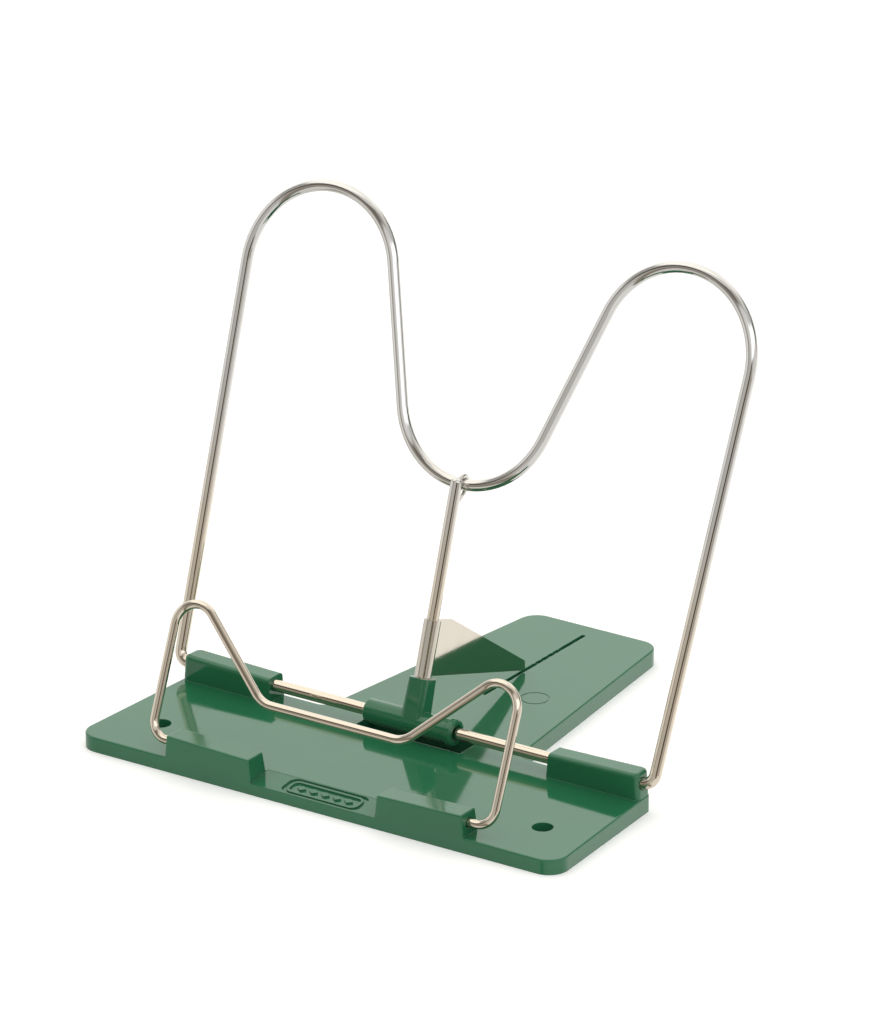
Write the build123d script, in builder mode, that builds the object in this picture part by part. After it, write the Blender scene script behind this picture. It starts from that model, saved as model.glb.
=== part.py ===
from build123d import *

import os
from math import asin, cos, degrees, radians, sin

# Folding book display stand: a moulded T-shaped base, a leaning back frame and a page retainer
# of bent wire, and a sheet prop that swings on a centre post.

# All lengths are in millimetres and all angles in degrees.
# The origin is on the table, under the middle of the base's front edge.
# +X runs to the reader's right, +Y towards the back and +Z up.

# Base plate, a T in plan
BAR_FRONT_HALF = 94.8
BAR_BACK_HALF = 90.3
BAR_DEPTH = 63.0
TAIL_ROOT_HALF = 38.0
TAIL_END_HALF = 25.7
TAIL_END_Y = 169.0
PLATE = 6.0
PLATE_FRONT = 5.2
SLOPE_END = 54.0
SKIN = 3.4
SKIRT = 2.2
FRONT_CORNER = 7.0
BACK_CORNER = 2.5
TAIL_CORNER = 7.0
ROOT_CORNER = 4.0
TOP_ROUND = 0.5

# Ribs, bosses and screw holes under the plate
RIB = 1.6
BAR_RIB_XS = (20.0, 58.0)
BAR_RIB_Y = 34.0
TAIL_RIB_YS = (84.0, 112.0, 140.0)
SCREW_X = 75.5
SCREW_Y = 21.3
SCREW_R = 2.2
SCREW_SEAT_R = 3.5
SCREW_SEAT_DEPTH = 3.6
BOSS_R = 5.4

# Locating groove for the prop's tip, with small detents along its middle
SLOT_START = 100.0
SLOT_END = 161.5
SLOT_WIDTH = 1.5
SLOT_DEPTH = 2.0
DETENT_R = 0.35
DETENT_FIRST = 132.0
DETENT_PITCH = 3.6
DETENT_COUNT = 5

# Clearance opening under the hinge barrel
OPENING_HALF = 21.0
OPENING_FRONT = 54.8
OPENING_BACK = 64.6

# Sloping panel between the front blocks, with a sunk badge on it: a raised rim round a field of
# raised lozenges. The tail has an engraved mould mark.
PANEL_FRONT = 4.0
PANEL_BACK = 5.35
PANEL_DEPTH = 10.5
BADGE_X = 1.6
BADGE_Y = 5.2
BADGE_LENGTH = 31.0
BADGE_HEIGHT = 9.2
BADGE_CORNER = 3.0
BADGE_DEPTH = 0.6
RIM_LENGTH = 28.0
RIM_HEIGHT = 7.2
RIM_CORNER = 2.6
RIM = 0.9
LOZENGE_COUNT = 5
LOZENGE_PITCH = 4.6
LOZENGE_HALF_LENGTH = 1.7
LOZENGE_HALF_HEIGHT = 1.4
MARK_X = 16.0
MARK_Y = 107.0
MARK_R = 5.0
MARK_LINE = 0.5
MARK_DEPTH = 0.15

# Bearing blocks, moulded in one with the plate
FRONT_BLOCK_IN = 24.5
FRONT_BLOCK_OUT = 58.8
FRONT_BLOCK_DEPTH = 9.2
FRONT_BLOCK_TOP = 12.9
REAR_BLOCK_IN = 54.7
REAR_BLOCK_FRONT = 54.5
REAR_BLOCK_TOP = 15.0
BLOCK_TOP_DROP = 0.9
BLOCK_DRAFT = 0.8
BLOCK_EDGE = 0.5
REAR_BLOCK_ROUND = 1.4
REAR_BLOCK_CORNER = 1.8
REAR_FRONT_DRAFT = 0.2
MOUTH_CHAMFER = 0.8
MOUTH_ANGLE = 90.0

# Wires and their two hinge lines, which run along X
WIRE_R = 2.0
THIN_WIRE_R = 1.5
RUNNING = 0.05
SNUG = 0.01
WIRE_END_CHAMFER = 0.4
ROD_Y = 58.0
ROD_Z = 11.2
RETAINER_Y = 4.3
RETAINER_Z = 9.2

# Back frame: an M of equal bends, leaning back
FRAME_LEAN = 20.6
FRAME_TOP = 166.0
VALLEY = 80.0
FRAME_BEND = 29.0
INNER_LEAN = 17.7
LEG_LEAN = 2.0
FOOT_BEND = 3.8
FRAME_STUB_END = 76.0
ROD_HALF = 74.5

# Centre hinge and post, which leans a little less than the frame and stands right of the middle
POST_X = 1.0
POST_LEAN = 17.7
BARREL_R = 4.1
BARREL_HALF = 17.5
COLLAR_R = 4.6
COLLAR_WIDTH = 2.2
BARREL_RELIEF_R = 2.8
BARREL_RELIEF = 0.8
SOCKET_ROOT = 8.0
SOCKET_TIP = 7.4
SOCKET_CORNER = 1.6
SOCKET_TOP = 15.0
SOCKET_FLOOR = 5.0
POST_END_ROUND = 1.2
HOOK_WIRE_R = 0.8
HOOK_GAP = 0.1
HOOK_TURN = 215.0
HOOK_TIP = 6.0
HOOK_TIP_TAPER = 5.0

# Prop: a sheet rolled round the post
SHEET = 0.8
PROP_BOTTOM = 15.5
PROP_TOP = 34.5
PROP_REACH = 65.1
PROP_SHOULDER = 11.8
PROP_TIP_TOP = 18.9
PROP_TIP_IN = 1.4
ROLL_GAP = 0.3
PROP_CORNER = 0.9

# Page retainer
RETAINER_LEAN = 22.0
RETAINER_TOP = 45.8
RETAINER_LOW = 19.6
RETAINER_SIDE = 67.2
RETAINER_FOOT_BEND = 6.0
RETAINER_HUMP_BEND = 8.0
RETAINER_LOW_BEND = 10.0
RETAINER_SLOPE = 43.0
RETAINER_STUB_END = 46.0
RETAINER_BORE_END = 45.0

SIDES = (1, -1)


def leaning_plane(lean, hinge_y, hinge_z):
    """Plane through a hinge line, tilted back: local X is +X and local Y climbs the wires."""
    return Plane(
        origin=(0, hinge_y, hinge_z),
        x_dir=(1, 0, 0),
        z_dir=(0, -cos(radians(lean)), sin(radians(lean))),
    )


def bend_wire(start, heading, moves):
    """Lay (straight, bend radius, turn) moves end to end, as a wire bender would."""
    x, y = start
    for straight, radius, turn in moves:
        way = (cos(radians(heading)), sin(radians(heading)))
        bend = (x + straight * way[0], y + straight * way[1])
        Line((x, y), bend)
        x, y = bend
        if turn:
            JernArc(start=bend, tangent=way, radius=radius, arc_size=turn)
            chord = 2 * radius * sin(radians(abs(turn) / 2))
            x += chord * cos(radians(heading + turn / 2))
            y += chord * sin(radians(heading + turn / 2))
            heading += turn


def bar_half_at(y):
    """Half width of the bar, which narrows towards the back."""
    return BAR_FRONT_HALF + (BAR_BACK_HALF - BAR_FRONT_HALF) * y / BAR_DEPTH


frame_plane = leaning_plane(FRAME_LEAN, ROD_Y, ROD_Z)
retainer_plane = leaning_plane(RETAINER_LEAN, RETAINER_Y, RETAINER_Z)
# Local X points back, across the post, and local Y climbs the post.
post_plane = Plane(
    origin=(POST_X, ROD_Y, ROD_Z),
    x_dir=(0, cos(radians(POST_LEAN)), -sin(radians(POST_LEAN))),
    z_dir=(1, 0, 0),
)
# Local X and Y span the post's cross-section and local Z climbs the post.
post_section = Plane(
    origin=(POST_X, ROD_Y, ROD_Z),
    x_dir=(1, 0, 0),
    z_dir=(0, sin(radians(POST_LEAN)), cos(radians(POST_LEAN))),
)

# Lies on the sloping panel, at the badge's middle.
badge_plane = Plane(
    origin=(BADGE_X, BADGE_Y, PANEL_FRONT + (PANEL_BACK - PANEL_FRONT) * BADGE_Y / PANEL_DEPTH),
    x_dir=(1, 0, 0),
    z_dir=(0, PANEL_FRONT - PANEL_BACK, PANEL_DEPTH),
)

# ---------------------------------------------------------------- bearing blocks
# Each block is lofted from its footprint to a smaller top that drops towards the middle.
front_block_top = Plane(
    origin=(FRONT_BLOCK_OUT, 0, FRONT_BLOCK_TOP),
    x_dir=(FRONT_BLOCK_OUT - FRONT_BLOCK_IN, 0, BLOCK_TOP_DROP),
    z_dir=(-BLOCK_TOP_DROP, 0, FRONT_BLOCK_OUT - FRONT_BLOCK_IN),
)
with BuildPart() as front_block:
    with BuildSketch(Plane.XY.offset(PLATE_FRONT - TOP_ROUND)):
        Polygon(
            (FRONT_BLOCK_IN, 0),
            (FRONT_BLOCK_OUT, 0),
            (FRONT_BLOCK_OUT, FRONT_BLOCK_DEPTH),
            (FRONT_BLOCK_IN, FRONT_BLOCK_DEPTH),
            align=None,
        )
    with BuildSketch(front_block_top):
        Polygon(
            (FRONT_BLOCK_IN - FRONT_BLOCK_OUT + BLOCK_DRAFT, 0),
            (-BLOCK_DRAFT, 0),
            (-BLOCK_DRAFT, FRONT_BLOCK_DEPTH - BLOCK_DRAFT),
            (FRONT_BLOCK_IN - FRONT_BLOCK_OUT + BLOCK_DRAFT, FRONT_BLOCK_DEPTH - BLOCK_DRAFT),
            align=None,
        )
    loft()
    fillet(front_block.edges().filter_by(lambda edge: edge.center().Z > PLATE), BLOCK_EDGE)

rear_block_out = bar_half_at(REAR_BLOCK_FRONT)
rear_block_top = Plane(
    origin=(rear_block_out, 0, REAR_BLOCK_TOP),
    x_dir=(rear_block_out - REAR_BLOCK_IN, 0, BLOCK_TOP_DROP),
    z_dir=(-BLOCK_TOP_DROP, 0, rear_block_out - REAR_BLOCK_IN),
)
with BuildPart() as rear_block:
    with BuildSketch(Plane.XY.offset(PLATE - SKIN)) as rear_foot:
        Polygon(
            (REAR_BLOCK_IN, REAR_BLOCK_FRONT),
            (rear_block_out, REAR_BLOCK_FRONT),
            (BAR_BACK_HALF, BAR_DEPTH),
            (REAR_BLOCK_IN, BAR_DEPTH),
            align=None,
        )
        fillet(rear_foot.vertices().group_by(Axis.Y)[-1].sort_by(Axis.X)[-1], BACK_CORNER)
        fillet(rear_foot.vertices().group_by(Axis.Y)[0].sort_by(Axis.X)[-1], REAR_BLOCK_CORNER)
    with BuildSketch(rear_block_top) as rear_cap:
        Polygon(
            (REAR_BLOCK_IN - rear_block_out + BLOCK_DRAFT, REAR_BLOCK_FRONT + REAR_FRONT_DRAFT),
            (-BLOCK_DRAFT, REAR_BLOCK_FRONT + REAR_FRONT_DRAFT),
            (BAR_BACK_HALF - rear_block_out - BLOCK_DRAFT, BAR_DEPTH - REAR_FRONT_DRAFT),
            (REAR_BLOCK_IN - rear_block_out + BLOCK_DRAFT, BAR_DEPTH - REAR_FRONT_DRAFT),
            align=None,
        )
        fillet(rear_cap.vertices().group_by(Axis.Y)[-1].sort_by(Axis.X)[-1], BACK_CORNER)
        fillet(rear_cap.vertices().group_by(Axis.Y)[0].sort_by(Axis.X)[-1], REAR_BLOCK_CORNER)
    loft()
    top_edges = rear_block.faces().sort_by(Axis.Z)[-1].edges()
    fillet([top_edges.sort_by(Axis.Y)[0], *top_edges.sort_by(Axis.X)[-3:]], REAR_BLOCK_ROUND)

# ---------------------------------------------------------------- base
with BuildPart() as base:
    with BuildSketch() as outline:
        right = [
            (BAR_FRONT_HALF, 0),
            (BAR_BACK_HALF, BAR_DEPTH),
            (TAIL_ROOT_HALF, BAR_DEPTH),
            (TAIL_END_HALF, TAIL_END_Y),
        ]
        Polygon(*right, *[(-x, y) for x, y in reversed(right)], align=None)
        fillet(outline.vertices().group_by(Axis.Y)[0], FRONT_CORNER)
        fillet(outline.vertices().group_by(Axis.Y)[-1], TAIL_CORNER)
        for half, radius in ((TAIL_ROOT_HALF, ROOT_CORNER), (BAR_BACK_HALF, BACK_CORNER)):
            for side in SIDES:
                corner = outline.vertices().sort_by_distance((side * half, BAR_DEPTH))[0]
                fillet(corner, radius)
    extrude(amount=PLATE)
    # The bar's top falls gently towards the front.
    with BuildSketch(Plane.YZ):
        Polygon((0, PLATE_FRONT), (SLOPE_END, PLATE), (0, PLATE), align=None)
    extrude(amount=BAR_FRONT_HALF, both=True, mode=Mode.SUBTRACT)
    high = base.edges().filter_by(lambda edge: edge.center().Z > PLATE_FRONT - SNUG)
    fillet(high.filter_by(lambda edge: edge.center().Y != SLOPE_END), TOP_ROUND)

    # The underside is hollow between its skirt, ribs and bosses.
    with BuildSketch() as hollow:
        add(outline.sketch)
        offset(amount=-SKIRT)
        with GridLocations(2 * SCREW_X, 0, 2, 1):
            with Locations((0, SCREW_Y)):
                Circle(BOSS_R, mode=Mode.SUBTRACT)
        for rib_x in BAR_RIB_XS:
            with GridLocations(2 * rib_x, 0, 2, 1):
                with Locations((0, BAR_DEPTH / 2)):
                    Rectangle(RIB, BAR_DEPTH, mode=Mode.SUBTRACT)
        with Locations((0, BAR_RIB_Y)):
            Rectangle(2 * BAR_FRONT_HALF, RIB, mode=Mode.SUBTRACT)
        for rib_y in TAIL_RIB_YS:
            with Locations((0, rib_y)):
                Rectangle(2 * TAIL_ROOT_HALF, RIB, mode=Mode.SUBTRACT)
        with Locations((0, (SLOT_START + SLOT_END) / 2)):
            Rectangle(SLOT_WIDTH + 2 * RIB, SLOT_END - SLOT_START + 2 * RIB, mode=Mode.SUBTRACT)
        with Locations((0, (OPENING_FRONT + OPENING_BACK) / 2)):
            Rectangle(
                2 * (OPENING_HALF + RIB),
                OPENING_BACK - OPENING_FRONT + 2 * RIB,
                mode=Mode.SUBTRACT,
            )
    extrude(amount=PLATE - SKIN, mode=Mode.SUBTRACT)

    add(front_block.part)
    add(rear_block.part)
    mirror(front_block.part, about=Plane.YZ)
    mirror(rear_block.part, about=Plane.YZ)

    # Groove with detents, and the opening under the barrel, which goes right through the plate
    with BuildSketch(Plane.XY.offset(PLATE)):
        with Locations((0, (SLOT_START + SLOT_END) / 2)):
            Rectangle(SLOT_WIDTH, SLOT_END - SLOT_START)
        detent_ys = [DETENT_FIRST + DETENT_PITCH * step for step in range(DETENT_COUNT)]
        with Locations(*[(side * SLOT_WIDTH / 2, y) for side in SIDES for y in detent_ys]):
            Circle(DETENT_R, mode=Mode.SUBTRACT)
    extrude(amount=-SLOT_DEPTH, mode=Mode.SUBTRACT)
    with BuildSketch():
        with Locations((0, (OPENING_FRONT + OPENING_BACK) / 2)):
            Rectangle(2 * OPENING_HALF, OPENING_BACK - OPENING_FRONT)
    extrude(amount=PLATE, mode=Mode.SUBTRACT)

    with Locations((SCREW_X, SCREW_Y, PLATE), (-SCREW_X, SCREW_Y, PLATE)):
        CounterBoreHole(SCREW_R, SCREW_SEAT_R, SCREW_SEAT_DEPTH)

    # Sloping panel, badge and mould mark
    with BuildSketch(Plane.YZ):
        Polygon((0, PANEL_FRONT), (PANEL_DEPTH, PANEL_BACK), (0, PANEL_BACK), align=None)
    extrude(amount=FRONT_BLOCK_IN, both=True, mode=Mode.SUBTRACT)
    with BuildSketch(badge_plane):
        RectangleRounded(BADGE_LENGTH, BADGE_HEIGHT, BADGE_CORNER)
        RectangleRounded(RIM_LENGTH, RIM_HEIGHT, RIM_CORNER, mode=Mode.SUBTRACT)
        RectangleRounded(RIM_LENGTH - 2 * RIM, RIM_HEIGHT - 2 * RIM, RIM_CORNER - RIM)
        with GridLocations(LOZENGE_PITCH, 0, LOZENGE_COUNT, 1):
            Polygon(
                (-LOZENGE_HALF_LENGTH, 0),
                (0, -LOZENGE_HALF_HEIGHT),
                (LOZENGE_HALF_LENGTH, 0),
                (0, LOZENGE_HALF_HEIGHT),
                mode=Mode.SUBTRACT,
            )
    extrude(amount=-BADGE_DEPTH, mode=Mode.SUBTRACT)
    with BuildSketch(Plane.XY.offset(PLATE)):
        with Locations((MARK_X, MARK_Y)):
            Circle(MARK_R)
            Circle(MARK_R - MARK_LINE, mode=Mode.SUBTRACT)
    extrude(amount=-MARK_DEPTH, mode=Mode.SUBTRACT)

    # One bore runs through both rear blocks for the hinge rod. Its outer ends are eased for the
    # frame's stubs. The front bores are blind.
    with Locations(Plane(origin=(bar_half_at(ROD_Y), ROD_Y, ROD_Z), z_dir=(1, 0, 0))):
        Hole(WIRE_R + SNUG)
    for side in SIDES:
        rear_mouth = Plane(origin=(side * bar_half_at(ROD_Y), ROD_Y, ROD_Z), z_dir=(side, 0, 0))
        with Locations(rear_mouth):
            CounterSinkHole(
                WIRE_R + RUNNING,
                WIRE_R + RUNNING + MOUTH_CHAMFER,
                depth=bar_half_at(ROD_Y) - (FRAME_STUB_END + ROD_HALF) / 2,
                counter_sink_angle=MOUTH_ANGLE,
            )
        front_mouth = Plane(
            origin=(side * FRONT_BLOCK_OUT, RETAINER_Y, RETAINER_Z), z_dir=(side, 0, 0)
        )
        with Locations(front_mouth):
            CounterSinkHole(
                THIN_WIRE_R + RUNNING,
                THIN_WIRE_R + RUNNING + MOUTH_CHAMFER,
                depth=FRONT_BLOCK_OUT - RETAINER_BORE_END,
                counter_sink_angle=MOUTH_ANGLE,
            )
base.part.label = "base"

# ---------------------------------------------------------------- hinge rod
with BuildPart() as hinge_rod:
    with BuildSketch(Plane(origin=(-ROD_HALF, ROD_Y, ROD_Z), z_dir=(1, 0, 0))):
        Circle(WIRE_R)
    extrude(amount=2 * ROD_HALF)
    chamfer(hinge_rod.edges().filter_by(GeomType.CIRCLE), WIRE_END_CHAMFER)
hinge_rod.part.label = "hinge_rod"

# ---------------------------------------------------------------- back frame
centre_rise = FRAME_TOP - VALLEY - 2 * FRAME_BEND
hump_x = (2 * FRAME_BEND + centre_rise * sin(radians(INNER_LEAN))) / cos(radians(INNER_LEAN))
inner_run = hump_x * sin(radians(INNER_LEAN)) + centre_rise * cos(radians(INNER_LEAN))
hump_height = FRAME_TOP - FRAME_BEND
leg_top = hump_height - FRAME_BEND * sin(radians(LEG_LEAN))
leg_foot = FOOT_BEND * (1 - sin(radians(LEG_LEAN)))
leg_run = (leg_top - leg_foot) / cos(radians(LEG_LEAN))
foot_x = hump_x + (FRAME_BEND - FOOT_BEND) * cos(radians(LEG_LEAN)) - leg_run * sin(radians(LEG_LEAN))
hump_turn = 180 - INNER_LEAN + LEG_LEAN
with BuildPart() as back_frame:
    with BuildLine(frame_plane) as frame_line:
        bend_wire(
            (-FRAME_STUB_END, 0),
            180,
            [
                (foot_x - FRAME_STUB_END, FOOT_BEND, -90 + LEG_LEAN),
                (leg_run, FRAME_BEND, -hump_turn),
                (inner_run, FRAME_BEND, 180 - 2 * INNER_LEAN),
                (inner_run, FRAME_BEND, -hump_turn),
                (leg_run, FOOT_BEND, -90 + LEG_LEAN),
                (foot_x - FRAME_STUB_END, 0, 0),
            ],
        )
    with BuildSketch(Plane(origin=frame_line.line @ 0, z_dir=frame_line.line % 0)):
        Circle(WIRE_R)
    sweep()
    chamfer(back_frame.faces().filter_by(GeomType.PLANE).edges(), WIRE_END_CHAMFER)
back_frame.part.label = "back_frame"

# ---------------------------------------------------------------- centre hinge
with BuildPart() as centre_hinge:
    with BuildSketch(Plane(origin=(-BARREL_HALF, ROD_Y, ROD_Z), z_dir=(1, 0, 0))):
        Circle(BARREL_R)
    extrude(amount=2 * BARREL_HALF)
    with BuildSketch(post_section):
        RectangleRounded(SOCKET_ROOT, SOCKET_ROOT, SOCKET_CORNER)
    with BuildSketch(post_section.offset(SOCKET_TOP)):
        RectangleRounded(SOCKET_TIP, SOCKET_TIP, SOCKET_CORNER)
    loft()
    with BuildSketch(Plane(origin=(BARREL_HALF - COLLAR_WIDTH, ROD_Y, ROD_Z), z_dir=(1, 0, 0))):
        Circle(COLLAR_R)
    extrude(amount=COLLAR_WIDTH)
    ends = centre_hinge.faces().filter_by(GeomType.PLANE).filter_by(Axis.X).sort_by(Axis.X)
    chamfer(ends[0].edges() + ends[-1].edges(), BLOCK_EDGE)
    with Locations(Plane(origin=(BARREL_HALF, ROD_Y, ROD_Z), z_dir=(1, 0, 0))):
        Hole(WIRE_R + RUNNING, depth=2 * BARREL_HALF)
        Hole(BARREL_RELIEF_R, depth=BARREL_RELIEF)
    with Locations(post_section.offset(SOCKET_TOP)):
        Hole(WIRE_R + SNUG, depth=SOCKET_TOP - SOCKET_FLOOR)
centre_hinge.part.label = "centre_hinge"

# ---------------------------------------------------------------- centre post
# The post's end is drawn down to a thin tail, hooked over the valley of the back frame.
valley_rise = VALLEY * cos(radians(FRAME_LEAN - POST_LEAN))
valley_back = VALLEY * sin(radians(FRAME_LEAN - POST_LEAN))
hook_r = WIRE_R + HOOK_GAP + HOOK_WIRE_R
with BuildPart() as centre_post:
    with BuildSketch(post_section.offset(SOCKET_FLOOR + SNUG)):
        Circle(WIRE_R)
    extrude(amount=valley_rise + WIRE_R - SOCKET_FLOOR - SNUG)
    post_ends = centre_post.edges().filter_by(GeomType.CIRCLE).sort_by(Axis.Z)
    chamfer(post_ends[0], WIRE_END_CHAMFER)
    fillet(post_ends[-1], POST_END_ROUND)
    with BuildLine(post_plane) as hook_line:
        bend_wire(
            (valley_back - hook_r, valley_rise - WIRE_R),
            90,
            [(WIRE_R, hook_r, -HOOK_TURN)],
        )
    with BuildSketch(post_section.offset(valley_rise - WIRE_R)):
        with Locations((0, valley_back - hook_r)):
            Circle(HOOK_WIRE_R)
    sweep()
    with BuildSketch(Plane(origin=hook_line.line @ 1, z_dir=hook_line.line % 1)):
        Circle(HOOK_WIRE_R)
    extrude(amount=HOOK_TIP, taper=HOOK_TIP_TAPER)
centre_post.part.label = "centre_post"

# ---------------------------------------------------------------- prop
roll_inner = WIRE_R + RUNNING
roll_outer = roll_inner + SHEET
# The wing turns back towards the middle, so that its tip stands over the groove.
wing_turn = degrees(asin(POST_X / PROP_REACH))
wing_blank = PROP_REACH + PROP_CORNER / 2
with BuildPart() as prop_wing:
    with BuildSketch(post_section.offset(PROP_BOTTOM)):
        Circle(roll_outer)
        with Locations(Rotation(0, 0, wing_turn) * Pos(0, (roll_inner + wing_blank) / 2)):
            Rectangle(SHEET, wing_blank - roll_inner)
        Circle(roll_inner, mode=Mode.SUBTRACT)
        with Locations((-(SHEET + ROLL_GAP) / 2, roll_outer)):
            Rectangle(ROLL_GAP, 2 * SHEET, mode=Mode.SUBTRACT)
    extrude(amount=PROP_TOP - PROP_BOTTOM)
    with BuildSketch(post_plane):
        Polygon(
            (PROP_SHOULDER, PROP_TOP),
            (PROP_REACH - PROP_TIP_IN, PROP_TIP_TOP),
            (PROP_REACH, PROP_BOTTOM),
            (PROP_REACH + PROP_CORNER, PROP_BOTTOM - PROP_CORNER),
            (PROP_REACH + PROP_CORNER, PROP_TOP + PROP_CORNER),
            (PROP_SHOULDER, PROP_TOP + PROP_CORNER),
            align=None,
        )
    extrude(amount=roll_outer, both=True, mode=Mode.SUBTRACT)
    across = prop_wing.edges().filter_by(Axis.X).filter_by(lambda edge: edge.length > SHEET / 2)
    tip_corners = across.sort_by(Axis.Y)[-2:]
    fillet(tip_corners, PROP_CORNER)
prop_wing.part.label = "prop_wing"

# ---------------------------------------------------------------- page retainer
hump_y = RETAINER_TOP - RETAINER_HUMP_BEND
slope_top = hump_y + RETAINER_HUMP_BEND * cos(radians(RETAINER_SLOPE))
slope_foot = RETAINER_LOW + RETAINER_LOW_BEND * (1 - cos(radians(RETAINER_SLOPE)))
slope_run = (slope_top - slope_foot) / sin(radians(RETAINER_SLOPE))
slope_top_x = RETAINER_SIDE - RETAINER_HUMP_BEND * (1 + sin(radians(RETAINER_SLOPE)))
low_half = (
    slope_top_x
    - slope_run * cos(radians(RETAINER_SLOPE))
    - RETAINER_LOW_BEND * sin(radians(RETAINER_SLOPE))
)
side_run = hump_y - RETAINER_FOOT_BEND
stub_run = RETAINER_SIDE - RETAINER_FOOT_BEND - RETAINER_STUB_END
with BuildPart() as front_retainer:
    with BuildLine(retainer_plane) as retainer_line:
        bend_wire(
            (-RETAINER_STUB_END, 0),
            180,
            [
                (stub_run, RETAINER_FOOT_BEND, -90),
                (side_run, RETAINER_HUMP_BEND, -90 - RETAINER_SLOPE),
                (slope_run, RETAINER_LOW_BEND, RETAINER_SLOPE),
                (2 * low_half, RETAINER_LOW_BEND, RETAINER_SLOPE),
                (slope_run, RETAINER_HUMP_BEND, -90 - RETAINER_SLOPE),
                (side_run, RETAINER_FOOT_BEND, -90),
                (stub_run, 0, 0),
            ],
        )
    with BuildSketch(Plane(origin=retainer_line.line @ 0, z_dir=retainer_line.line % 0)):
        Circle(THIN_WIRE_R)
    sweep()
    chamfer(front_retainer.faces().filter_by(GeomType.PLANE).edges(), WIRE_END_CHAMFER)
front_retainer.part.label = "front_retainer"

os.makedirs("parts", exist_ok=True)
for piece in (base, hinge_rod, back_frame, centre_hinge, centre_post, prop_wing, front_retainer):
    export_step(piece.part, f"parts/{piece.part.label}.step")
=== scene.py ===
"""Looks for the book display stand: glossy moulded plastic, bright plated wire and sheet, studio light."""

from math import cos, radians, sin

import bpy
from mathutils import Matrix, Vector

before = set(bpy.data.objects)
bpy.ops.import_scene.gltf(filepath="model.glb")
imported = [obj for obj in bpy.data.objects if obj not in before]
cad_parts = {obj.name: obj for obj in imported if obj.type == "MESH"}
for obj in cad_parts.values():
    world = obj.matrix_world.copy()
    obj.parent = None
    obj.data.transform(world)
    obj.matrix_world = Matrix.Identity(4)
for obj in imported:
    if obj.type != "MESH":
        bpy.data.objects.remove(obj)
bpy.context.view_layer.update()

# Lengths are in metres and angles in degrees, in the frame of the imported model.
MM = 0.001

# Camera: a long lens, so that the stand shows with little perspective
VIEW_AZIMUTH = 33.95
VIEW_ELEVATION = 21.92
VIEW_DISTANCE = 2.8914
VIEW_AIM = (0.0, 0.0778, 0.0789)
LENS = 310.1
LONG_SIDE = 36.0
CLIP = (0.1, 50.0)

# Studio: brightnesses, where 1 is white. Azimuth 0 is towards the camera and positive to its right.
# A later panel or streak covers an earlier one.
BACKDROP = 1.0
ROOM = (0.92, 0.905, 0.875)
# Panels: azimuth from, to, elevation from, to, softness, colour
PANELS = (
    # Behind the stand, low and high: the flat green tops mirror the low ones
    (-180, -150, 12, 42, 12, (1.50, 1.53, 1.47)),
    (150, 180, 12, 42, 12, (1.50, 1.53, 1.47)),
    (-180, -80, 45, 78, 14, (1.60, 1.56, 1.46)),
    (120, 180, 42, 78, 14, (1.35, 1.32, 1.24)),
    # Left, and below the horizon to the left and right
    (-128, -84, -14, 22, 10, (1.05, 1.04, 1.02)),
    (-180, -12, -90, -14, 10, (0.88, 0.87, 0.83)),
    (0, 180, -90, -14, 12, (1.08, 1.07, 1.04)),
    # Right: the wing mirrors the bright one directly and the dark one by way of the tail
    (100, 160, -50, -8, 8, (1.32, 1.30, 1.25)),
    (92, 132, 8, 34, 6, (0.16, 0.19, 0.17)),
    # In front: dim at eye level, brighter above
    (-52, 30, -8, 20, 8, (0.66, 0.65, 0.62)),
    (-30, 70, 46, 62, 8, (0.95, 0.95, 0.95)),
    (-5, 84, 25, 44, 6, (1.75, 1.77, 1.80)),
)
# Streaks: one end, the other end, half width, softness, colour. Each end is an azimuth and elevation.
# They are the dark flags and stands whose mirror images run along the wires as dark lines.
STREAKS = (
    ((-128, 30), (-78, 32), 5, 6, (0.50, 0.50, 0.49)),
    ((-66, -6), (-66, 20), 5, 6, (0.40, 0.37, 0.33)),
    ((-76, 24), (-60, 34), 5, 6, (0.09, 0.07, 0.05)),
    ((-60, 32), (-40, 54), 5, 6, (0.24, 0.22, 0.19)),
    ((-40, 54), (-18, 66), 5, 6, (0.26, 0.24, 0.21)),
    ((-18, 66), (50, 70), 4, 8, (0.56, 0.53, 0.48)),
    ((4, 14), (10, 2), 7, 5, (0.12, 0.09, 0.055)),
    ((22, 10), (52, -8), 2, 5, (0.55, 0.52, 0.48)),
    ((-58, -4), (-18, -45), 4, 6, (0.32, 0.29, 0.24)),
    ((-18, -45), (10, -68), 4, 6, (0.34, 0.31, 0.26)),
    ((-82, -36), (-94, -60), 5, 7, (0.46, 0.45, 0.37)),
    ((45, 60), (108, 32), 4, 7, (0.75, 0.74, 0.72)),
)

# Floor: how light it looks and how much light it sends back to the stand
FLOOR_RADIUS = 12.0
FLOOR_DROP = 0.02 * MM
FLOOR_SEEN = 0.90
FLOOR_GLOW = 0.22
FLOOR_BOUNCE = 0.90
# Painted shade: the patch of floor under the hinge gets a dark colour, standing in for the shade the base
# casts there
PAINTED_SHADE_LEVEL = 0.12
SHADED_SIZE = (0.056, 0.030)
SHADED_CENTRE = (0.0, 0.057)
SHADED_DROP = 0.01 * MM

# Plastic
GREEN = (0.021, 0.148, 0.066)
GREEN_DEEP = (0.017, 0.128, 0.056)
GREEN_FLOW = (0.022, 0.150, 0.068)
# Painted highlight: the paler green that the edges are lightened towards
GREEN_EDGE_HIGHLIGHT = (0.040, 0.190, 0.095)
PLASTIC_IOR = 1.50
EDGE_ROUND = 0.35 * MM
PLASTIC_ROUGHNESS = 0.05
SINK_DEPTH = 0.05 * MM
SKIN_DEPTH = 0.004 * MM
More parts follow.
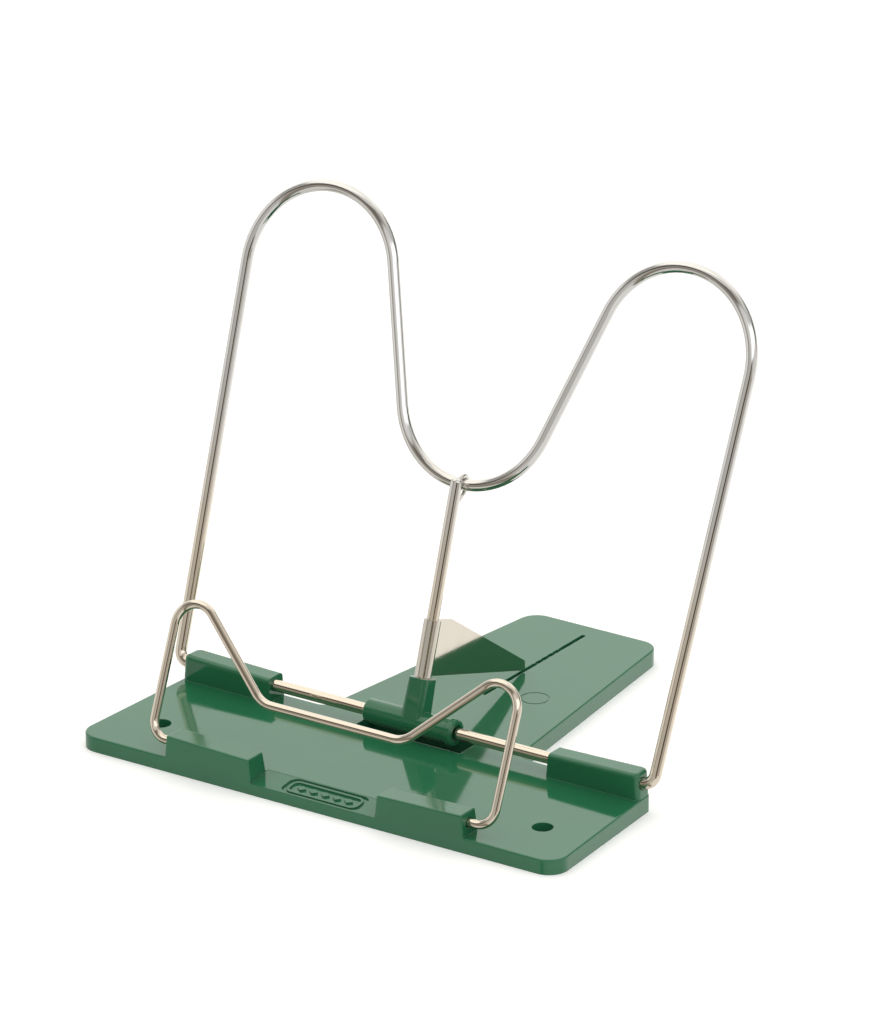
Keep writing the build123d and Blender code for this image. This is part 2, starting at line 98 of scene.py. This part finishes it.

# Plating, with a painted reflection: its tint is warmer below the first height, for the brownish surroundings
# it mirrors low down, and neutral above the second
NICKEL = (0.62, 0.61, 0.595)
NICKEL_WARM_REFLECTION = (0.65, 0.575, 0.48)
NICKEL_DULL = (0.50, 0.47, 0.43)
SHEET_BRIGHT = (0.575, 0.548, 0.50)
SHEET_WARM_REFLECTION = (0.58, 0.54, 0.475)
SHEET_DULL = (0.50, 0.47, 0.43)
WARM_BELOW = 0.040
WARM_ABOVE = 0.105
WIRE_ROUGHNESS = 0.045
WIRE_RIPPLE = 0.004 * MM
SHEET_ROUGHNESS = 0.06
SHEET_RIPPLE = 0.006 * MM
PIT_DEPTH = 0.003 * MM


class Nodes:
    """A short way to add nodes to a tree: inputs may be values or the sockets that feed them."""

    def __init__(self, tree):
        self.tree = tree
        tree.nodes.clear()

    def add(self, kind, inputs=None, **settings):
        node = self.tree.nodes.new(kind)
        for name, value in settings.items():
            setattr(node, name, value)
        for name, value in (inputs or {}).items():
            socket = node.inputs[name]
            if isinstance(value, bpy.types.NodeSocket):
                self.tree.links.new(value, socket)
            else:
                socket.default_value = value
        return node

    def math(self, operation, *values, clamp=False):
        inputs = dict(enumerate(values))
        return self.add("ShaderNodeMath", inputs, operation=operation, use_clamp=clamp).outputs[0]

    def vector(self, operation, *values):
        node = self.add("ShaderNodeVectorMath", dict(enumerate(values)), operation=operation)
        return node.outputs["Value" if operation in ("DOT_PRODUCT", "LENGTH") else "Vector"]

    def ramp(self, value, low, high, out_low=0.0, out_high=1.0):
        """Smooth step from out_low at low to out_high at high."""
        node = self.add(
            "ShaderNodeMapRange",
            {"Value": value, "From Min": low, "From Max": high, "To Min": out_low, "To Max": out_high},
            interpolation_type="SMOOTHSTEP",
        )
        return node.outputs["Result"]

    def window(self, value, low, high, soft):
        """1 between low and high, falling to 0 over soft outside them."""
        return self.math(
            "MULTIPLY",
            self.ramp(value, low - soft, low),
            self.ramp(value, high, high + soft, 1.0, 0.0),
        )

    def streak(self, place, start, end, half_width, soft):
        """1 within half_width of the line from start to end, falling to 0 over soft beyond it."""
        run = Vector((end[0] - start[0], end[1] - start[1], 0.0))
        offset = self.vector("SUBTRACT", place, (*start, 0.0))
        progress = self.vector("DOT_PRODUCT", offset, run / run.length_squared)
        along = self.math("MULTIPLY", progress, 1.0, clamp=True)
        foot = self.add("ShaderNodeVectorMath", {0: run, "Scale": along}, operation="SCALE").outputs["Vector"]
        away = self.vector("LENGTH", self.vector("SUBTRACT", offset, foot))
        return self.ramp(away, half_width, half_width + soft, 1.0, 0.0)

    def mix(self, factor, first, second, blend="MIX"):
        node = self.add(
            "ShaderNodeMix", {"Factor": factor}, data_type="RGBA", blend_type=blend, clamp_factor=True
        )
        for socket, value in ((node.inputs[6], first), (node.inputs[7], second)):
            if isinstance(value, bpy.types.NodeSocket):
                self.tree.links.new(value, socket)
            else:
                socket.default_value = (*value, 1.0)
        return node.outputs[2]

    def noise(self, vector, scale, detail=2.0, roughness=0.5):
        inputs = {"Vector": vector, "Scale": scale, "Detail": detail, "Roughness": roughness}
        return self.add("ShaderNodeTexNoise", inputs).outputs["Fac"]

    def bump(self, height, distance, strength=1.0, normal=None):
        inputs = {"Height": height, "Distance": distance, "Strength": strength}
        if normal is not None:
            inputs["Normal"] = normal
        return self.add("ShaderNodeBump", inputs).outputs["Normal"]


def new_material(name):
    material = bpy.data.materials.new(name)
    material.use_nodes = True
    return material, Nodes(material.node_tree)


def edge_mask(nodes, rounded):
    """0 on flat stretches, rising to 1 where the rounded normal leaves the true one, which is along edges."""
    true_normal = nodes.add("ShaderNodeNewGeometry").outputs["Normal"]
    agreement = nodes.vector("DOT_PRODUCT", rounded, true_normal)
    return nodes.ramp(agreement, 0.995, 0.90)


def moulded_plastic():
    """Glossy green plastic as it leaves a polished mould: faint flow marks and sink, with painted highlights
    where the edges are lightened.
    """
    material, nodes = new_material("moulded_green")
    place = nodes.add("ShaderNodeTexCoord").outputs["Object"]
    rounded = nodes.add("ShaderNodeBevel", {"Radius": EDGE_ROUND}, samples=6).outputs["Normal"]
    edges = edge_mask(nodes, rounded)

    clouds = nodes.ramp(nodes.noise(place, 28.0, 3.0), 0.35, 0.65)
    flow_lines = nodes.vector("MULTIPLY", place, (14.0, 90.0, 60.0))
    flow = nodes.ramp(nodes.noise(flow_lines, 1.0, 3.0), 0.35, 0.70)
    colour = nodes.mix(nodes.math("MULTIPLY", clouds, 0.6), GREEN, GREEN_DEEP)
    colour = nodes.mix(nodes.math("MULTIPLY", flow, 0.12), colour, GREEN_FLOW)
    # Painted highlight: edges lightened towards a paler green
    colour = nodes.mix(nodes.math("MULTIPLY", edges, 0.18), colour, GREEN_EDGE_HIGHLIGHT)

    smudges = nodes.ramp(nodes.noise(place, 55.0, 4.0, 0.6), 0.45, 0.75, 0.0, 0.05)
    grain = nodes.noise(place, 2600.0, 2.0)
    roughness = nodes.math("ADD", smudges, nodes.math("MULTIPLY", grain, 0.04))
    roughness = nodes.math("ADD", roughness, nodes.math("MULTIPLY", edges, 0.06))
    roughness = nodes.math("ADD", roughness, PLASTIC_ROUGHNESS)

    sink = nodes.bump(nodes.noise(place, 45.0, 1.0), SINK_DEPTH, 0.35, rounded)
    skin = nodes.bump(nodes.noise(place, 900.0, 2.0), SKIN_DEPTH, 0.5, sink)
    surface = nodes.add(
        "ShaderNodeBsdfPrincipled",
        {"Base Color": colour, "Roughness": roughness, "IOR": PLASTIC_IOR, "Normal": skin},
    )
    nodes.add("ShaderNodeOutputMaterial", {"Surface": surface.outputs["BSDF"]})
    return material


def plating(name, bright, warm_reflection, dull, roughness_low, ripple):
    """Nickel plate on steel: slight waviness, fine pits, a thin haze in places, and a painted reflection: a
    warmer tone low down for the brownish surroundings it mirrors there.
    """
    material, nodes = new_material(name)
    place = nodes.add("ShaderNodeTexCoord").outputs["Object"]
    height = nodes.add("ShaderNodeSeparateXYZ", {"Vector": place}).outputs["Z"]
    haze = nodes.ramp(nodes.noise(place, 70.0, 5.0, 0.65), 0.48, 0.78)
    pits = nodes.ramp(nodes.noise(place, 1900.0, 2.0), 0.62, 0.76)
    # Painted reflection: warmer tint low down, neutral higher up
    colour = nodes.mix(nodes.ramp(height, WARM_BELOW, WARM_ABOVE), warm_reflection, bright)
    colour = nodes.mix(nodes.math("MULTIPLY", haze, 0.35), colour, dull)
    colour = nodes.mix(nodes.math("MULTIPLY", pits, 0.30), colour, dull)
    roughness = nodes.math("MULTIPLY", haze, 0.05)
    roughness = nodes.math("ADD", roughness, nodes.math("MULTIPLY", pits, 0.08))
    roughness = nodes.math("ADD", roughness, roughness_low)
    wave = nodes.bump(nodes.noise(place, 110.0, 1.0), ripple, 1.0)
    skin = nodes.bump(pits, PIT_DEPTH, 0.4, wave)
    surface = nodes.add(
        "ShaderNodeBsdfPrincipled",
        {"Base Color": colour, "Metallic": 1.0, "Roughness": roughness, "Normal": skin},
    )
    nodes.add("ShaderNodeOutputMaterial", {"Surface": surface.outputs["BSDF"]})
    return material


def dress(node_names, material):
    for name in node_names:
        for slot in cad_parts[name].material_slots:
            slot.material = material


def build_studio():
    """A white room with soft panels. It turns with the camera, as if the stand were on a turntable."""
    world = bpy.data.worlds.new("studio")
    bpy.context.scene.world = world
    world.use_nodes = True
    nodes = Nodes(world.node_tree)
    way = nodes.add("ShaderNodeTexCoord").outputs["Generated"]
    camera_right = nodes.add(
        "ShaderNodeVectorTransform",
        {"Vector": (1.0, 0.0, 0.0)},
        vector_type="VECTOR",
        convert_from="CAMERA",
        convert_to="WORLD",
    ).outputs["Vector"]
    towards_camera = nodes.vector("CROSS_PRODUCT", camera_right, (0.0, 0.0, 1.0))
    sideways = nodes.vector("DOT_PRODUCT", way, camera_right)
    frontal = nodes.vector("DOT_PRODUCT", way, towards_camera)
    height = nodes.add("ShaderNodeSeparateXYZ", {"Vector": way}).outputs["Z"]
    azimuth = nodes.math("DEGREES", nodes.math("ARCTAN2", sideways, frontal))
    elevation = nodes.math("DEGREES", nodes.math("ARCSINE", height))

    colour = ROOM
    for left, right, low, high, soft, shade in PANELS:
        inside = nodes.math("MULTIPLY", nodes.window(azimuth, left, right, soft),
                            nodes.window(elevation, low, high, soft))
        colour = nodes.mix(inside, colour, shade)
    place = nodes.add("ShaderNodeCombineXYZ", {"X": azimuth, "Y": elevation}).outputs["Vector"]
    for start, end, half_width, soft, shade in STREAKS:
        colour = nodes.mix(nodes.streak(place, start, end, half_width, soft), colour, shade)
    seen = nodes.add("ShaderNodeLightPath").outputs["Is Camera Ray"]
    colour = nodes.mix(seen, colour, (BACKDROP, BACKDROP, BACKDROP))
    background = nodes.add("ShaderNodeBackground", {"Color": colour, "Strength": 1.0})
    nodes.add("ShaderNodeOutputWorld", {"Surface": background.outputs["Background"]})


def pale_surface(name, seen, bounce, glow):
    """Mottled off-white: seen and glow are for the camera, bounce is for the light sent to the stand."""
    material, nodes = new_material(name)
    place = nodes.add("ShaderNodeNewGeometry").outputs["Position"]
    mottle = nodes.ramp(nodes.noise(place, 9.0, 3.0), 0.3, 0.7, 0.985, 1.0)
    by_camera = nodes.add("ShaderNodeLightPath").outputs["Is Camera Ray"]
    level = nodes.ramp(
        by_camera, 0.0, 1.0, nodes.math("MULTIPLY", mottle, bounce), nodes.math("MULTIPLY", mottle, seen)
    )
    colour = nodes.add("ShaderNodeCombineXYZ", {"X": level, "Y": level, "Z": level}).outputs["Vector"]
    diffuse = nodes.add("ShaderNodeBsdfDiffuse", {"Color": colour}).outputs["BSDF"]
    shine = nodes.add("ShaderNodeEmission", {"Strength": nodes.math("MULTIPLY", by_camera, glow)})
    surface = nodes.add("ShaderNodeAddShader", {0: diffuse, 1: shine.outputs["Emission"]}).outputs["Shader"]
    nodes.add("ShaderNodeOutputMaterial", {"Surface": surface})
    return material


def build_floor():
    """A wide pale floor, and a small patch of painted shade: dark floor seen through the opening under the
    hinge.
    """
    bpy.ops.mesh.primitive_circle_add(vertices=128, radius=FLOOR_RADIUS, fill_type="NGON")
    floor = bpy.context.object
    floor.name = "floor"
    floor.location = (0.0, VIEW_AIM[1], -FLOOR_DROP)
    floor.data.materials.append(pale_surface("pale_floor", FLOOR_SEEN, FLOOR_BOUNCE, FLOOR_GLOW))
    # The stand mirrors the panels below the horizon, and the floor only under the hinge.
    floor.visible_glossy = False
    # Painted shade: a dark plane under the hinge, for the shade the base casts on the floor there
    bpy.ops.mesh.primitive_plane_add(size=1.0)
    painted_shade = bpy.context.object
    painted_shade.name = "painted_shade_under_hinge"
    painted_shade.scale = (*SHADED_SIZE, 1.0)
    painted_shade.location = (*SHADED_CENTRE, -SHADED_DROP)
    painted_shade.data.materials.append(pale_surface("painted_shade_floor", PAINTED_SHADE_LEVEL, PAINTED_SHADE_LEVEL, 0.0))


def build_camera():
    turn = radians(VIEW_AZIMUTH)
    tilt = radians(VIEW_ELEVATION)
    back = Vector((sin(turn) * cos(tilt), -cos(turn) * cos(tilt), sin(tilt)))
    data = bpy.data.cameras.new("camera")
    data.sensor_width = LONG_SIDE
    data.lens = LENS
    data.clip_start, data.clip_end = CLIP
    camera = bpy.data.objects.new("camera", data)
    camera.location = Vector(VIEW_AIM) + VIEW_DISTANCE * back
    camera.rotation_euler = (-back).to_track_quat("-Z", "Y").to_euler()
    bpy.context.scene.collection.objects.link(camera)
    bpy.context.scene.camera = camera


plastic = moulded_plastic()
wire_plate = plating("plated_wire", NICKEL, NICKEL_WARM_REFLECTION, NICKEL_DULL, WIRE_ROUGHNESS, WIRE_RIPPLE)
sheet_plate = plating(
    "plated_sheet", SHEET_BRIGHT, SHEET_WARM_REFLECTION, SHEET_DULL, SHEET_ROUGHNESS, SHEET_RIPPLE
)
dress(("base", "centre_hinge"), plastic)
dress(("hinge_rod", "back_frame", "centre_post", "front_retainer"), wire_plate)
dress(("prop_wing",), sheet_plate)

build_studio()
build_floor()
build_camera()
bpy.context.scene.view_settings.view_transform = "Standard"
